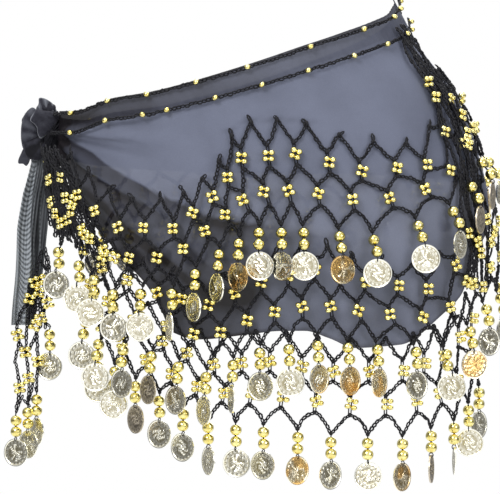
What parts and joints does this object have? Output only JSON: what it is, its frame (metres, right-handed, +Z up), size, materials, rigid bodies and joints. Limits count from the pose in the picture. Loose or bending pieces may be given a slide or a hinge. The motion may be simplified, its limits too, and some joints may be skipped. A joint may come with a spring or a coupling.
{
  "type": "belly dance hip scarf",
  "caption": "Worn triangular sheer hip scarf, knotted at one side, with tiers of beaded crochet net and hanging coins.",
  "frame": {"origin": "middle of the worn loop at hip height, on the wearer's axis", "axes": "+Z up, the front of the garment towards -Y, the knot at the side towards -X"},
  "size_m": [0.3678, 0.2707, 0.3491],
  "materials": {
    "chiffon": "sheer matt black chiffon",
    "yarn": "black crochet yarn",
    "coin_metal": "pale gold plated, embossed"
  },
  "bodies": {
    "root": {"chiffon_wrap": "chiffon", "knot": "chiffon", "chiffon_tail": "chiffon", "edge_chain": "yarn", "second_chain": "yarn", "net_tier_one": "yarn", "net_tier_two": "yarn", "net_tier_three_left": "yarn", "net_tier_three_right": "yarn", "coin_row_one": "coin_metal", "coin_row_two": "coin_metal", "coin_row_three": "coin_metal", "tie_end_net": "coin_metal"}
  },
  "joints": []
}
